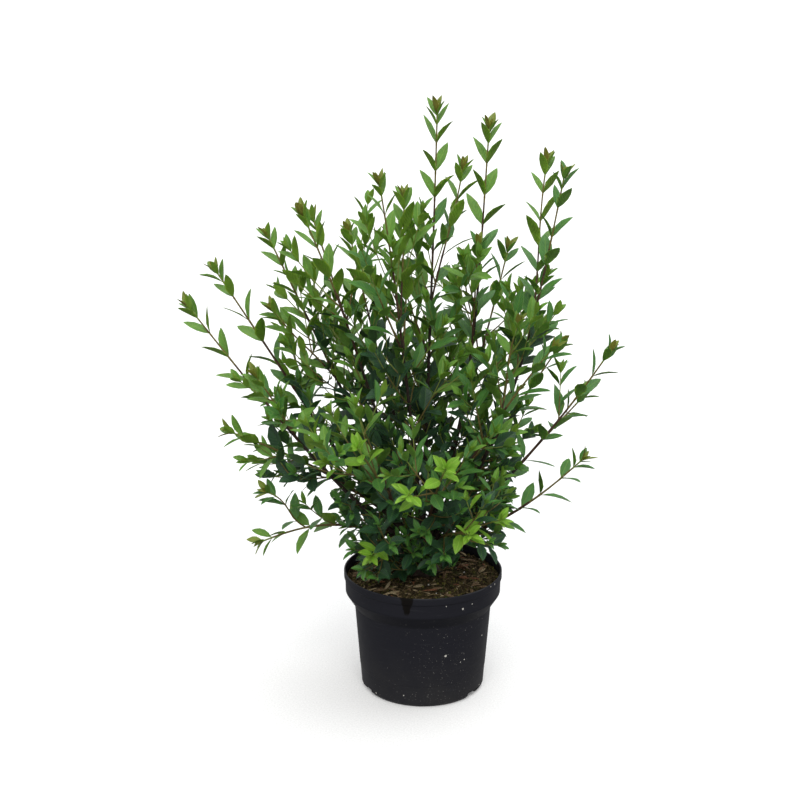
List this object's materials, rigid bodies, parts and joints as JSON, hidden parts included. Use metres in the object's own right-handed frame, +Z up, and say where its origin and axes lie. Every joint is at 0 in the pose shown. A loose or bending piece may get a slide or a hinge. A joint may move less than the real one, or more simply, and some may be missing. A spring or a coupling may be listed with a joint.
{
  "type": "potted privet shrub",
  "caption": "Evergreen privet shrub with upright and spreading leafy shoots, standing in a round black plastic nursery pot.",
  "frame": {"origin": "middle of the pot's flat underside", "axes": "+Z up along the pot's axis; -Y is the front, the side that faces the picture's camera; +X is the picture's right"},
  "size_m": [0.5063, 0.4161, 0.7079],
  "materials": {
    "pot_plastic": "satin black, moulded, with fine dust and light specks",
    "compost": "dark moist compost with bark chips and moss",
    "bark": "smooth grey-brown bark with pale pores",
    "foliage": "leathery green leaves, slightly glossy"
  },
  "bodies": {
    "root": {"bough_back_centre": "bark", "bough_back_left": "bark", "bough_back_low_left": "bark", "bough_back_low_right": "bark", "bough_back_right": "bark", "bough_back_rise": "bark", "bough_front_centre": "bark", "bough_front_left": "bark", "bough_front_low_left": "bark", "bough_front_low_right": "bark", "bough_front_right_rise": "bark", "bough_left_crest": "bark", "bough_left_drooping": "bark", "bough_left_low": "bark", "bough_left_reach": "bark", "bough_left_reach_upper": "bark", "bough_middle_left": "bark", "bough_right_low": "bark", "bough_right_reach": "bark", "bough_right_shoulder": "bark", "bough_tall_centre": "bark", "bough_tall_left_of_centre": "bark", "bough_tall_right": "bark", "bough_tall_right_of_centre": "bark", "bough_upper_left": "bark", "compost": "compost", "foliage_back_centre": "foliage", "foliage_back_left": "foliage", "foliage_back_low_left": "foliage", "foliage_back_low_right": "foliage", "foliage_back_right": "foliage", "foliage_back_rise": "foliage", "foliage_front_centre": "foliage", "foliage_front_left": "foliage", "foliage_front_low_left": "foliage", "foliage_front_low_right": "foliage", "foliage_front_right_rise": "foliage", "foliage_left_crest": "foliage", "foliage_left_drooping": "foliage", "foliage_left_low": "foliage", "foliage_left_reach": "foliage", "foliage_left_reach_upper": "foliage", "foliage_middle_left": "foliage", "foliage_right_low": "foliage", "foliage_right_reach": "foliage", "foliage_right_shoulder": "foliage", "foliage_tall_centre": "foliage", "foliage_tall_left_of_centre": "foliage", "foliage_tall_right": "foliage", "foliage_tall_right_of_centre": "foliage", "foliage_upper_left": "foliage", "pot": "pot_plastic", "stem": "bark"}
  },
  "joints": []
}
